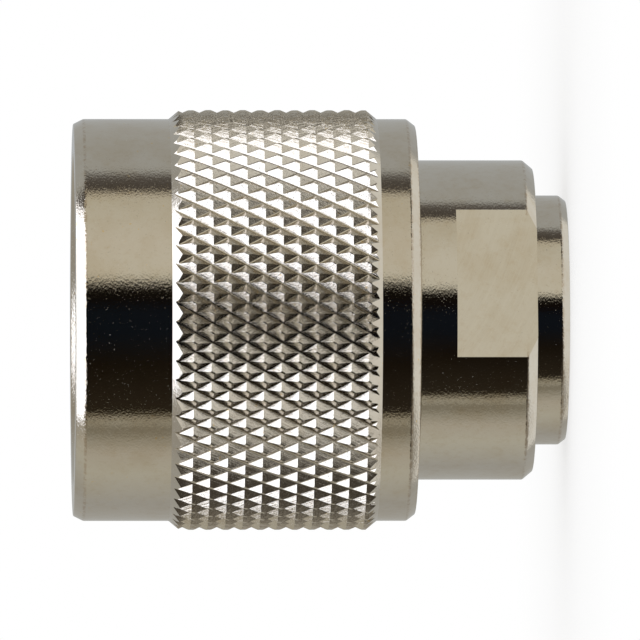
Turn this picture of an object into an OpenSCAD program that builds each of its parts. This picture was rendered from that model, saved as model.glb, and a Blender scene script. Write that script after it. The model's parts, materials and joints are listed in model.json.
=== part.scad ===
// N-type coaxial plug, straight, clamp type, for 5 mm cable.
//
// The plug stands on its cable end. Z runs along the cable axis, up to the
// mating end, and the origin is the centre of the rear face of the collar.
// From the outside in: a knurled coupling nut that spins on a snap ring, the
// body with two wrench flats and a round collar, the slotted outer contact,
// the centre pin in its PTFE supports, and the clamp parts that grip the cable.
// The coupling thread is a true helix, cut as a chain of flat facets. The thread of
// the clamp nut is a plain surface.

/* [Coupling nut] */
// Diameter of the plain bands at both ends of the nut
nut_d = 20; // [19:0.1:24]
// Length of the nut along the axis
nut_len = 17; // [16:0.1:22]
// Front outer chamfer, measured along the axis
nut_front_chamfer_len = 0.5; // [0.2:0.05:1.2]
// Front outer chamfer, measured on the radius
nut_front_chamfer_rise = 0.25; // [0.1:0.05:0.6]
// Rear outer chamfer, measured along the axis
nut_rear_chamfer_len = 0.43; // [0.2:0.01:1]
// Rear outer chamfer, measured on the radius
nut_rear_chamfer_rise = 0.33; // [0.1:0.01:0.8]
// Minor diameter of the 5/8-24 coupling thread
coupling_thread_minor_d = 14.8; // [14.7:0.05:15]
// Major diameter of the coupling thread
coupling_thread_major_d = 15.88; // [15.7:0.02:16]
// Pitch of the coupling thread, 24 to the inch
coupling_thread_pitch = 1.058; // [0.9:0.001:1.2]
// Diameter of the relief behind the coupling thread
relief_d = 16.1; // [16:0.05:16.6]
// Diameter of the countersink at the mouth of the nut
mouth_d = 16.6; // [16:0.1:17.4]

/* [Knurl] */
// Pyramids in one turn of the diamond knurl
knurl_count = 66; // [40:1:90]
// Diameter over the flat crests
knurl_d = 20.9; // [20.8:0.05:21.2]
// Included angle of the V grooves, in degrees
knurl_v_angle = 110; // [90:1:120]
// Length of the flat that the grooves leave on each crest, along the axis
knurl_land_len = 0.1; // [0.05:0.01:0.3]
// Angle of the grooves to the axis, in degrees
knurl_angle = 30; // [25:1:45]
// Distance from the front of the nut to the knurled band
knurl_from_front = 4.75; // [2:0.05:6]
// Length of the knurled band over its two shoulders
knurl_len = 10.35; // [6:0.05:11]
// Length of each conical shoulder
knurl_shoulder_len = 0.55; // [0.3:0.05:0.8]
// Distance from the front end of the knurled band to the first row of crests
knurl_first_row = 0.25; // [0.2:0.05:0.5]
// Turn of the pattern about the axis, in degrees
knurl_turn = 0.6; // [0:0.1:5.4]

/* [Interface] */
// Distance of the outer contact's end, the reference plane, below the nut's front
reference_recess = 1.6; // [0.5:0.1:3]
// Distance from the reference plane to the face of the gasket
gasket_recess = 9.2; // [9:0.1:9.6]
// Outside diameter of the outer contact
outer_contact_d = 8; // [7.8:0.05:8.2]
// Inside diameter of the outer contact
outer_contact_bore_d = 7; // [6.8:0.05:7.1]
// Spring fingers of the outer contact
contact_finger_count = 4; // [3:1:8]
// Width of the slots between the fingers
contact_slot_w = 0.4; // [0.2:0.05:0.8]
// Length of the slots
contact_slot_len = 7.6; // [4:0.1:8.4]
// Thickness of the interface gasket
gasket_t = 1.5; // [1:0.1:2]
// How far the gasket's outside lies within the barrel's, on the radius
gasket_inset = 0.1; // [0:0.05:0.4]
// Diameter of the centre pin
pin_d = 1.6; // [1.5:0.01:1.68]
// Diameter of the shoulder behind the pin
pin_shoulder_d = 3.04; // [2.8:0.01:3.2]
// Distance from the reference plane to the pin's shoulder
pin_shoulder_recess = 5.28; // [5:0.01:5.6]
// Distance from the reference plane to the pin's tip
pin_tip_recess = 0.5; // [0.2:0.05:1.5]
// Length of the rounded taper at the pin's tip
pin_taper_len = 0.9; // [0.4:0.1:1.5]

/* [Body] */
// Diameter of the body behind the nut
body_d = 15.9; // [15.2:0.1:18]
// Distance across the two wrench flats
flats_af = 14; // [12:0.1:15]
// Length of the full round between the nut and the flats
flange_len = 1.8; // [1:0.1:4]
// Length of the wrench flats
flats_len = 4; // [2:0.1:8]
// Rear chamfer of the body, measured along the axis
body_chamfer_len = 0.5; // [0.1:0.05:1]
// Rear chamfer of the body, measured on the radius
body_chamfer_rise = 0.42; // [0.1:0.02:0.8]
// Diameter of the collar at the cable end
collar_d = 12.4; // [11.6:0.1:14]
// Length of the collar
collar_len = 1.65; // [1:0.05:4]
// Rear chamfer of the collar, measured along the axis
collar_chamfer_len = 0.36; // [0.1:0.02:0.6]
// Rear chamfer of the collar, measured on the radius
collar_chamfer_rise = 0.27; // [0.1:0.01:0.5]
// Diameter of the barrel that the coupling nut turns on
barrel_d = 14; // [13.6:0.05:14.3]
// Diameter of the neck that carries the gasket
neck_d = 11; // [10.4:0.1:11.6]
// Diameter of the bore through the body
body_bore_d = 9.2; // [8.8:0.05:9.3]
// Diameter at which the clamp nut's thread meets the body
clamp_thread_d = 9.5; // [9.4:0.05:9.8]
// Thickness of the inner web that the insulators bear on
web_t = 0.6; // [0.4:0.1:1.2]

/* [Snap ring] */
// Thickness of the ring along the axis
ring_t = 1; // [0.6:0.05:1.2]
// Width of the ring's wire, on the radius
ring_w = 1.5; // [1.2:0.05:1.8]
// How deep the ring sits below the outside of the barrel
ring_bite = 0.7; // [0.5:0.05:0.9]
// Width of the gap in the ring, in degrees
ring_gap_angle = 14; // [4:1:40]
// Distance from the rear of the nut to the ring
ring_from_rear = 2.4; // [1.5:0.1:2.8]
// Free travel of the nut along the axis
nut_float = 0.3; // [0.1:0.05:0.6]

/* [Cable clamp] */
// Diameter of the cable's jacket
cable_d = 5; // [4.5:0.1:5.4]
// Distance of the clamp nut below the rear face of the collar
clamp_nut_recess = 0.3; // [0:0.05:0.6]
// Length of the clamp nut
clamp_nut_len = 2.9; // [2.4:0.1:4]
// Width of the driving slots in the clamp nut
clamp_slot_w = 1.2; // [0.8:0.1:1.6]
// Depth of the driving slots in the clamp nut
clamp_slot_depth = 1.1; // [0.6:0.1:1.6]
// Thickness of the washer
washer_t = 0.5; // [0.3:0.05:0.8]
// Thickness of the cable gasket under its V groove
cable_gasket_base_t = 1.4; // [1:0.1:2]
// Height of the V ridge on the braid clamp
braid_ridge_h = 1; // [0.6:0.1:1.2]
// Thickness of the braid clamp's head
braid_head_t = 1.1; // [0.8:0.1:1.6]
// Thickness of the rear insulator
rear_insulator_t = 1.2; // [0.8:0.1:1.6]

/* [Centre conductor] */
// Diameter of the shank in the insulators
shank_d = 2.2; // [1.9:0.05:2.5]
// Diameter of the solder cup's bore
cup_bore_d = 1; // [0.9:0.05:1.3]
// Depth of the solder cup's bore
cup_depth = 2.4; // [1.8:0.1:3]
// Diameter of the solder inspection hole
cup_hole_d = 0.5; // [0.3:0.05:0.7]

/* [Fits] */
// Gap between faces that turn or slide on each other
face_gap = 0.05; // [0.03:0.01:0.1]
// Radial gap between the nut's bore and the barrel
nut_radial_gap = 0.1; // [0.05:0.01:0.15]
// Radial gap round parts that are pushed into a bore
push_gap = 0.02; // [0.01:0.005:0.04]
// Radial gap round the cable
cable_gap = 0.25; // [0.1:0.05:0.5]

/* [Hidden] */
$fn = 128;

NICKEL = [0.72, 0.70, 0.64];
BRASS = [0.80, 0.66, 0.36];
GOLD = [0.93, 0.76, 0.35];
PTFE = [0.94, 0.94, 0.92];
SILICONE = [0.55, 0.16, 0.10];

// Heights of the body's steps, from the rear face up
flats_z = collar_len;
flange_z = flats_z + flats_len;
body_shoulder_z = flange_z + flange_len;

// The coupling nut, and the planes that it sets
nut_z0 = body_shoulder_z + face_gap;
nut_z1 = nut_z0 + nut_len;
reference_z = nut_z1 - reference_recess;
gasket_z1 = reference_z - gasket_recess;
barrel_z1 = gasket_z1 - gasket_t;
neck_z1 = barrel_z1 + 0.4 * gasket_t;
contact_flange_z1 = barrel_z1 + 0.8 * gasket_t;
nut_bore_r = barrel_d / 2 + nut_radial_gap;
nut_step_z = barrel_z1 + gasket_t / 2;
thread_z0 = gasket_z1 + 0.9;
mouth_chamfer = (mouth_d - coupling_thread_minor_d) / 2;
thread_minor_r = coupling_thread_minor_d / 2;
thread_major_r = coupling_thread_major_d / 2;
thread_flank_angle = 30;
thread_facets = 24;
bore_break = 0.2;

// The snap ring, held closely by the nut and loosely by the body
ring_inner_d = barrel_d - 2 * ring_bite;
ring_outer_d = ring_inner_d + 2 * ring_w;
ring_z0 = nut_z0 + ring_from_rear;
ring_z1 = ring_z0 + ring_t;
nut_groove_r = ring_outer_d / 2 + nut_radial_gap;
body_groove_r = ring_inner_d / 2 - nut_radial_gap;

// The clamp stack, from the cable end up
stack_z0 = clamp_nut_recess;
washer_z = stack_z0 + clamp_nut_len;
cable_gasket_z = washer_z + washer_t;
ridge_tip_z = cable_gasket_z + cable_gasket_base_t;
braid_head_z = ridge_tip_z + braid_ridge_h;
rear_insulator_z = braid_head_z + braid_head_t;
web_z0 = rear_insulator_z + rear_insulator_t;
web_z1 = web_z0 + web_t;
clamp_thread_z1 = washer_z + washer_t / 2;
cable_hole_r = cable_d / 2 + cable_gap;
bore_fit_r = body_bore_d / 2 - push_gap;
clamp_thread_r = clamp_thread_d / 2;
clamp_mouth_chamfer = 0.4;
web_hole_r = (shank_d / 2 + body_bore_d / 2) / 2;

// The centre conductor
pin_tip_z = reference_z - pin_tip_recess;
pin_shoulder_z = reference_z - pin_shoulder_recess;
insulator_nose_z = contact_flange_z1 + 0.5;
edge_break = 0.12;

// The knurl: rows of roots and peaks alternate on a grid of half pitches, and the
// peaks, which the V angle sets, are turned down to the crest diameter
plain_r = nut_d / 2;
knurl_land_r = knurl_d / 2;
knurl_half_pitch = PI * knurl_land_r / knurl_count;
knurl_row = knurl_half_pitch / tan(knurl_angle);
knurl_peak_h = knurl_half_pitch * cos(knurl_angle) / tan(knurl_v_angle / 2);
knurl_peak_r = knurl_land_r + knurl_peak_h * knurl_land_len / 2 / knurl_row;
knurl_root_r = knurl_peak_r - knurl_peak_h;
knurl_z1 = nut_z1 - knurl_from_front;
knurl_z0 = knurl_z1 - knurl_len;
shoulder_slope = (knurl_land_r - plain_r) / knurl_shoulder_len;
knurl_rows = floor((knurl_len - knurl_first_row) / knurl_row) + 1;
knurl_first_z = knurl_z1 - knurl_first_row - (knurl_rows - 1) * knurl_row;
knurl_columns = 2 * knurl_count;
knurl_sink = 0.08;
knurl_core_r = plain_r - 0.5;

// Radius of the shoulder cones at height z, which cut the outermost pyramids down
function shoulder_r(z) = plain_r + shoulder_slope * min(z - knurl_z0, knurl_z1 - z);

// One ring of the knurl: every second point is a peak, and the next row swaps them
function knurl_ring(row) =
    let (z = knurl_first_z + row * knurl_row, peak = min(knurl_peak_r, shoulder_r(z)))
    [for (j = [0:knurl_columns - 1])
        let (r = (j + row) % 2 == 0 ? min(knurl_root_r, peak) : peak)
        [r * cos(180 * j / knurl_count), r * sin(180 * j / knurl_count), z]];

// A plain ring, for the ends and the inside of the band
function plain_ring(r, z) =
    [for (j = [0:knurl_columns - 1])
        [r * cos(180 * j / knurl_count), r * sin(180 * j / knurl_count), z]];

// The pointed pyramids as one closed skin, sunk into the nut at both ends
module knurl_pyramids() {
    end_r = plain_r - knurl_sink * shoulder_slope;
    rings = [
        plain_ring(end_r, knurl_z0 - knurl_sink),
        for (row = [0:knurl_rows - 1]) knurl_ring(row),
        plain_ring(end_r, knurl_z1 + knurl_sink),
        plain_ring(knurl_core_r, knurl_z1 + knurl_sink),
        plain_ring(knurl_core_r, knurl_z0 - knurl_sink)
    ];
    count = len(rings);
    n = knurl_columns;
    // The first ring counts as row -1, so the split follows the grooves across the shoulders too
    faces = [
        for (i = [0:count - 1], j = [0:n - 1])
            let (a = i * n + j, b = i * n + (j + 1) % n,
                 next = (i + 1) % count,
                 c = next * n + (j + 1) % n, d = next * n + j)
            each ((i + j) % 2 == 1 ? [[a, d, c], [a, c, b]] : [[a, d, b], [b, d, c]])
    ];
    polyhedron(points = [for (ring = rings) each ring], faces = faces, convexity = 4);
}

// Blank of the nut, turned as one profile with its bore, groove and relief
module nut_blank() {
    rotate_extrude()
        polygon([
            [nut_bore_r + bore_break, nut_z0],
            [plain_r - nut_rear_chamfer_rise, nut_z0],
            [plain_r, nut_z0 + nut_rear_chamfer_len],
            [plain_r, nut_z1 - nut_front_chamfer_len],
            [plain_r - nut_front_chamfer_rise, nut_z1],
            [mouth_d / 2, nut_z1],
            [thread_minor_r, nut_z1 - mouth_chamfer],
            [thread_minor_r, thread_z0],
            [relief_d / 2, thread_z0 - (relief_d / 2 - thread_minor_r)],
            [relief_d / 2, nut_step_z],
            [nut_bore_r, nut_step_z],
            [nut_bore_r, ring_z1 + face_gap],
            [nut_groove_r, ring_z1 + face_gap],
            [nut_groove_r, ring_z0 - face_gap],
            [nut_bore_r, ring_z0 - face_gap],
            [nut_bore_r, nut_z0 + bore_break]
        ]);
}

// The V groove of the coupling thread, from the relief out through the nut's mouth: its
// cross-section is carried along a helix whose height is the pitch times the turns
module thread_groove() {
    open_r = thread_minor_r - 0.1;
    root_half = coupling_thread_pitch / 16;
    open_half = root_half + (thread_major_r - open_r) * tan(thread_flank_angle);
    first_turn = (nut_step_z + open_half + 0.05) / coupling_thread_pitch;
    last_turn = (nut_z1 + open_half) / coupling_thread_pitch;
    steps = ceil((last_turn - first_turn) * thread_facets);
    section = [
        [open_r, -open_half],
        [thread_major_r, -root_half],
        [thread_major_r, root_half],
        [open_r, open_half]
    ];
    faces = [
        [3, 2, 1, 0],
        for (i = [0:steps - 1], side = [0:3])
            let (a = 4 * i + side, b = 4 * i + (side + 1) % 4)
            each [[a, b, b + 4], [a, b + 4, a + 4]],
        [for (side = [0:3]) 4 * steps + side]
    ];
    polyhedron(
        points = [
            for (i = [0:steps], corner = section)
                let (turn = first_turn + i / thread_facets)
                [corner[0] * cos(360 * turn), corner[0] * sin(360 * turn),
                 coupling_thread_pitch * turn + corner[1]]
        ],
        faces = faces, convexity = 12);
}

// The pyramids with their peaks turned off, which leaves a small flat on each
module knurl_band() {
    intersection() {
        rotate([0, 0, knurl_turn])
            knurl_pyramids();
        translate([0, 0, knurl_z0 - 1])
            cylinder(h = knurl_len + 2, r = knurl_land_r);
    }
}

module coupling_nut() {
    color(NICKEL)
        union() {
            difference() {
                nut_blank();
                thread_groove();
            }
            knurl_band();
        }
}

// Split ring of flat wire
module retaining_ring() {
    color(BRASS)
        rotate([0, 0, ring_gap_angle / 2])
            rotate_extrude(angle = 360 - ring_gap_angle)
                polygon([
                    [ring_inner_d / 2, ring_z0],
                    [ring_outer_d / 2, ring_z0],
                    [ring_outer_d / 2, ring_z1],
                    [ring_inner_d / 2, ring_z1]
                ]);
}

// Turned profile of the body, outside and inside, before the flats are milled
module body_turning() {
    body_r = body_d / 2;
    collar_r = collar_d / 2;
    bore_r = body_bore_d / 2;
    rotate_extrude()
        polygon([
            [clamp_thread_r + clamp_mouth_chamfer, 0],
            [collar_r - collar_chamfer_rise, 0],
            [collar_r, collar_chamfer_len],
            [collar_r, flats_z],
            [body_r - body_chamfer_rise, flats_z],
            [body_r, flats_z + body_chamfer_len],
            [body_r, body_shoulder_z],
            [barrel_d / 2, body_shoulder_z],
            [barrel_d / 2, ring_z0 - face_gap],
            [body_groove_r, ring_z0 - face_gap],
            [body_groove_r, ring_z1 + nut_float + face_gap],
            [barrel_d / 2, ring_z1 + nut_float + face_gap],
            [barrel_d / 2, barrel_z1],
            [neck_d / 2, barrel_z1],
            [neck_d / 2, neck_z1],
            [bore_r, neck_z1],
            [bore_r, web_z1],
            [web_hole_r, web_z1],
            [web_hole_r, web_z0],
            [bore_r, web_z0],
            [bore_r, clamp_thread_z1],
            [clamp_thread_r, clamp_thread_z1],
            [clamp_thread_r, clamp_mouth_chamfer]
        ]);
}

module body_shell() {
    cut_w = body_d + 2;
    color(NICKEL)
        difference() {
            body_turning();
            for (side = [-1, 1])
                translate([-cut_w / 2, side > 0 ? flats_af / 2 : -flats_af / 2 - cut_w, flats_z - 1])
                    cube([cut_w, cut_w, flats_len + 1]);
        }
}

// Slotted spring sleeve that slips into the mating jack, on a flange and spigot
module outer_contact() {
    tip_z = reference_z;
    r_out = outer_contact_d / 2;
    r_in = outer_contact_bore_d / 2;
    flange_r = neck_d / 2;
    color(NICKEL)
        difference() {
            rotate_extrude()
                polygon([
                    [r_in, barrel_z1],
                    [bore_fit_r, barrel_z1],
                    [bore_fit_r, neck_z1],
                    [flange_r, neck_z1],
                    [flange_r, contact_flange_z1 - edge_break],
                    [flange_r - edge_break, contact_flange_z1],
                    [r_out, contact_flange_z1],
                    [r_out, tip_z - edge_break],
                    [r_out - edge_break, tip_z],
                    [r_in + edge_break, tip_z],
                    [r_in, tip_z - edge_break]
                ]);
            for (i = [0:contact_finger_count - 1])
                rotate([0, 0, 360 * (i + 0.5) / contact_finger_count])
                    translate([0, -contact_slot_w / 2, tip_z - contact_slot_len])
                        cube([outer_contact_d, contact_slot_w, contact_slot_len + 1]);
        }
}

// Square-section rubber ring on the neck, which the jack's rim presses on
module interface_gasket() {
    color(SILICONE)
        rotate_extrude()
            polygon([
                [neck_d / 2 + push_gap, barrel_z1],
                [barrel_d / 2 - gasket_inset, barrel_z1],
                [barrel_d / 2 - gasket_inset, gasket_z1],
                [neck_d / 2 + push_gap, gasket_z1]
            ]);
}

// PTFE bead between the web and the outer contact, with a nose inside the sleeve
module front_insulator() {
    nose_r = outer_contact_bore_d / 2 - push_gap;
    hole_r = shank_d / 2 + push_gap;
    color(PTFE)
        rotate_extrude()
            polygon([
                [hole_r, web_z1],
                [bore_fit_r, web_z1],
                [bore_fit_r, barrel_z1],
                [nose_r, barrel_z1],
                [nose_r, insulator_nose_z],
                [hole_r, insulator_nose_z]
            ]);
}

// Centre contact: tapered pin, shoulder, shank and solder cup in one turning
module centre_pin() {
    pin_r = pin_d / 2;
    shoulder_r = pin_shoulder_d / 2;
    shank_r = shank_d / 2;
    cup_r = cup_bore_d / 2;
    // An ellipse quarter gives the rounded taper, and leaves a small flat at the tip
    taper = [for (a = [0:15:75])
        [pin_r * cos(a), pin_tip_z - pin_taper_len * (1 - sin(a) / sin(75))]];
    color(GOLD)
        difference() {
            rotate_extrude()
                polygon(concat([
                    [0, rear_insulator_z + cup_depth],
                    [cup_r, rear_insulator_z + cup_depth],
                    [cup_r, rear_insulator_z],
                    [shank_r, rear_insulator_z],
                    [shank_r, insulator_nose_z],
                    [shoulder_r, insulator_nose_z],
                    [shoulder_r, pin_shoulder_z - edge_break],
                    [shoulder_r - edge_break, pin_shoulder_z],
                    [pin_r, pin_shoulder_z]
                ], taper, [[0, pin_tip_z]]));
            translate([0, 0, web_z0 + web_t / 2])
                rotate([0, 90, 0])
                    cylinder(h = shank_d, d = cup_hole_d);
        }
}

module rear_insulator() {
    color(PTFE)
        rotate_extrude()
            polygon([
                [shank_d / 2 + push_gap, rear_insulator_z],
                [bore_fit_r, rear_insulator_z],
                [bore_fit_r, web_z0],
                [shank_d / 2 + push_gap, web_z0]
            ]);
}

// Braid clamp: a ring whose V ridge presses the braid into the gasket's groove
module braid_clamp() {
    mid_r = (cable_hole_r + bore_fit_r) / 2;
    color(NICKEL)
        rotate_extrude()
            polygon([
                [cable_hole_r, rear_insulator_z],
                [bore_fit_r, rear_insulator_z],
                [bore_fit_r, braid_head_z],
                [mid_r + edge_break, ridge_tip_z],
                [mid_r - edge_break, ridge_tip_z],
                [cable_hole_r, braid_head_z]
            ]);
}

// Cable gasket, with the V groove that the braid clamp's ridge fits
module cable_gasket() {
    mid_r = (cable_hole_r + bore_fit_r) / 2;
    color(SILICONE)
        rotate_extrude()
            polygon([
                [cable_hole_r, cable_gasket_z],
                [bore_fit_r, cable_gasket_z],
                [bore_fit_r, braid_head_z - face_gap],
                [mid_r + edge_break, ridge_tip_z - face_gap],
                [mid_r - edge_break, ridge_tip_z - face_gap],
                [cable_hole_r, braid_head_z - face_gap]
            ]);
}

module clamp_washer() {
    color(NICKEL)
        translate([0, 0, washer_z])
            difference() {
                cylinder(h = washer_t, r = bore_fit_r);
                translate([0, 0, -1])
                    cylinder(h = washer_t + 2, r = cable_hole_r);
            }
}

// Headless clamp nut inside the collar, turned by two slots in its rear face
module clamp_nut() {
    nut_r = clamp_thread_r - push_gap;
    hole_r = cable_hole_r;
    color(NICKEL)
        difference() {
            rotate_extrude()
                polygon([
                    [hole_r + bore_break, stack_z0],
                    [nut_r - bore_break, stack_z0],
                    [nut_r, stack_z0 + bore_break],
                    [nut_r, washer_z],
                    [hole_r, washer_z],
                    [hole_r, stack_z0 + bore_break]
                ]);
            translate([-clamp_thread_d, -clamp_slot_w / 2, stack_z0 - 1])
                cube([2 * clamp_thread_d, clamp_slot_w, clamp_slot_depth + 1]);
        }
}

coupling_nut();
retaining_ring();
body_shell();
outer_contact();
interface_gasket();
front_insulator();
centre_pin();
rear_insulator();
braid_clamp();
cable_gasket();
clamp_washer();
clamp_nut();
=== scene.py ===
# %% [markdown]
# # A straight coaxial plug in plated nickel
# This file dresses a finished mechanical model. The solids say where every part
# sits and how it moves. Here the visible metal parts get fine surfaces, every
# part gets its finish, and a camera and a small photo studio are set round them.
# The first cell loads the solids.

# %% Load the frame
import json
import math
import bmesh
import bpy
import numpy as np
from mathutils import Matrix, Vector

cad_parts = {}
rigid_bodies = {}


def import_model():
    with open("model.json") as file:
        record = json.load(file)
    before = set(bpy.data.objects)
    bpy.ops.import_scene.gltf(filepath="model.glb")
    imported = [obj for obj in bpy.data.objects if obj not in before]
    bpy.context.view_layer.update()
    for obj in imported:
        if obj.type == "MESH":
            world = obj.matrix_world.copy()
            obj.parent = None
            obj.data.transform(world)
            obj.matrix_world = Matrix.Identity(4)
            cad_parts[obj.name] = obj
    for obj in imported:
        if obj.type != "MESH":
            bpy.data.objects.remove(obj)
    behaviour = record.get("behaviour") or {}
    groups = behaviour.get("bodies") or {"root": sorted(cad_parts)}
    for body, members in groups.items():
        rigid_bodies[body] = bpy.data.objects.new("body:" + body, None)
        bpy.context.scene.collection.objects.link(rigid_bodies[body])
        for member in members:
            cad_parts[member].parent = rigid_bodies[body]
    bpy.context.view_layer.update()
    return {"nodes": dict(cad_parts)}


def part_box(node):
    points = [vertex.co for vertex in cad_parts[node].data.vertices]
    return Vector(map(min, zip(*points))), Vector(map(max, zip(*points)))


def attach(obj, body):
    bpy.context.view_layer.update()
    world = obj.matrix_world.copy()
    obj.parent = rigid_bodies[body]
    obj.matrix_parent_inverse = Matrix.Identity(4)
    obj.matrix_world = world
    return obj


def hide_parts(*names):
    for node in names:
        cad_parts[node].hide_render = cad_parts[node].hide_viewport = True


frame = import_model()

MM = 0.001
TAU = 2 * math.pi
print("parts:", ", ".join(sorted(frame["nodes"])))

# %% [markdown]
# ## Sizes
# A designer's model is driven by a few sizes, and so are the surfaces below.
# Lengths are in millimetres while shapes are worked out, and become metres when
# a mesh is made. Whatever the solids already settle is read from their boxes, so
# a changed solid carries the surfaces with it.

# %% Levels and radii taken from the solids
def levels(node):
    """Lowest height, highest height and outer radius of a node, in millimetres."""
    low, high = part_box(node)
    return low[2] / MM, high[2] / MM, high[0] / MM


nut_z0, nut_z1, knurl_r = levels("coupling_nut")
_, contact_tip_z, contact_flange_r = levels("outer_contact")
gasket_z0, gasket_z1, gasket_r = levels("interface_gasket")
ring_z0, ring_z1, ring_r = levels("retaining_ring")
_, _, body_r = levels("body_shell")
insulator_z0, _, insulator_r = levels("front_insulator")
FACE_GAP = 0.05
body_shoulder_z = nut_z0 - FACE_GAP
print(f"nut {nut_z0:.2f} to {nut_z1:.2f}, knurl radius {knurl_r:.2f}, body radius {body_r:.2f}")

# %% [markdown]
# ## Camera
# A product photographer shoots a small connector with a long lens from far away,
# so that parallel edges stay parallel. The plug stands on its cable end, and the
# camera is rolled a quarter turn, so in the picture the plug points to the left.
# The camera's axes are worked out from where it looks, because a roll is easier
# to state as a direction, image right is down the plug, than as an angle.

# %% Camera
CAMERA_AZIMUTH = math.radians(-15)
CAMERA_ELEVATION = math.radians(1.74)
CAMERA_DISTANCE = 0.815
CAMERA_LENS = 920.8
AIM = np.array([0.0, 0.0, 12.2 * MM])

toward = np.array([
    math.sin(CAMERA_AZIMUTH) * math.cos(CAMERA_ELEVATION),
    -math.cos(CAMERA_AZIMUTH) * math.cos(CAMERA_ELEVATION),
    math.sin(CAMERA_ELEVATION),
])
right = np.array([0.0, 0.0, -1.0])
right = right - right.dot(toward) * toward
right = right / np.linalg.norm(right)
above = np.cross(toward, right)

camera_data = bpy.data.cameras.new("camera")
camera_data.sensor_width = 36.0
camera_data.lens = CAMERA_LENS
camera_data.clip_start = 0.05
camera_data.clip_end = 20.0
camera = bpy.data.objects.new("camera", camera_data)
matrix = np.eye(4)
matrix[:3, 0] = right
matrix[:3, 1] = above
matrix[:3, 2] = toward
matrix[:3, 3] = AIM + toward * CAMERA_DISTANCE
camera.matrix_world = Matrix(matrix.tolist())
bpy.context.scene.collection.objects.link(camera)
bpy.context.scene.camera = camera
bpy.context.scene.view_settings.view_transform = "Standard"
print("camera at", [round(float(v), 4) for v in matrix[:3, 3]])

# %% [markdown]
# ## Shader maths as Python
# A material is a graph of small nodes. Drawing one in code gets long, so two
# helpers keep it short. `Value` wraps an output socket, and Python's own operators
# add the Math nodes, so `1 - mask * 0.5` reads as it would on paper. `Finish` is
# the graph itself, and its one method `add` makes any other node from its type,
# its settings and its inputs.

# %% Value: sums on sockets
class Value:
    """An output socket that takes part in sums: each operator adds one Math node."""

    def __init__(self, finish, socket):
        self.finish = finish
        self.socket = socket

    def _math(self, operation, *operands):
        return self.finish.add("ShaderNodeMath", {"operation": operation}, dict(enumerate(operands)))

    def __add__(self, other):
        return self._math("ADD", self, other)

    def __sub__(self, other):
        return self._math("SUBTRACT", self, other)

    def __rsub__(self, other):
        return self._math("SUBTRACT", other, self)

    def __mul__(self, other):
        return self._math("MULTIPLY", self, other)

    def __truediv__(self, other):
        return self._math("DIVIDE", self, other)

    def __pow__(self, other):
        return self._math("POWER", self, other)

    def __abs__(self):
        return self._math("ABSOLUTE", self)

    __radd__ = __add__
    __rmul__ = __mul__

    def at_least(self, other):
        return self._math("MAXIMUM", self, other)

    def angle_with(self, other):
        return self._math("ARCTAN2", self, other)

    def ease(self, start, stop):
        """0 before start, 1 after stop, with a smooth step between."""
        settings = {"interpolation_type": "SMOOTHSTEP"}
        return self.finish.add("ShaderNodeMapRange", settings, {0: self, 1: start, 2: stop})


print("sums on sockets ready")

# %% Finish: a graph of nodes
class Finish:
    """A node graph for a material or the world, with one way to add a node."""

    def __init__(self, owner):
        owner.use_nodes = True
        self.tree = owner.node_tree
        self.tree.nodes.clear()

    def add(self, kind, settings=None, inputs=None, output=0):
        """Make a node, set its settings, then its inputs, and give one output."""
        node = self.tree.nodes.new(kind)
        settings = dict(settings or {})
        stops = settings.pop("stops", None)
        for name, value in settings.items():
            setattr(node, name, value)
        if stops:
            elements = node.color_ramp.elements
            while len(elements) < len(stops):
                elements.new(1.0)
            for element, (place, colour) in zip(elements, stops):
                element.position = place
                element.color = (*colour, 1.0)
        for name, value in (inputs or {}).items():
            if isinstance(value, Value):
                self.tree.links.new(value.socket, node.inputs[name])
            else:
                node.inputs[name].default_value = value
        return Value(self, node.outputs[output]) if len(node.outputs) else None

    def mix(self, factor, low, high):
        """Blend two colours."""
        inputs = {0: factor, 6: low, 7: high}
        return self.add("ShaderNodeMix", {"data_type": "RGBA"}, inputs, 2)

    def split(self, vector):
        """The three parts of a vector."""
        node = self.add("ShaderNodeSeparateXYZ", None, {0: vector}).socket.node
        return [Value(self, node.outputs[i]) for i in range(3)]

    def join(self, x, y, z):
        """A vector from three parts."""
        return self.add("ShaderNodeCombineXYZ", None, {0: x, 1: y, 2: z})


def grey(level):
    """A neutral colour with alpha."""
    return (level, level, level, 1.0)


print("graphs of nodes ready")

# %% [markdown]
# ## Studio
# Polished metal has almost no colour of its own: what we see is the studio in it.
# A round bar reflects a whole turn of the room, squeezed into bands along its
# length. So the studio is designed as a panorama. Going round from the camera
# there is a dark room behind the camera, a tall lit panel on one side, a narrow
# dark gap, and then the pale grey backdrop all the way round. Above hangs a bright
# softbox under a grey ceiling. Below lies the pale table, with a sloping edge, and
# past it are the darker sides of the room.
#
# This could be built from lamps and cards, but nearby lamps shift as they are
# seen in different parts. A world shader is infinitely far away, so every band
# keeps its angle. The camera and any glass see plain white, mirror rays see the
# panorama, and soft light is an even dome, at which a colour renders about as it
# is written.
#
# The bands are a colour ramp over the angle round the plug. The softbox and the
# table are flat things. A mirror ray is carried on to their plane by dividing by its
# rise or its drop, which gives a place ahead of the camera and a place across.

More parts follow.
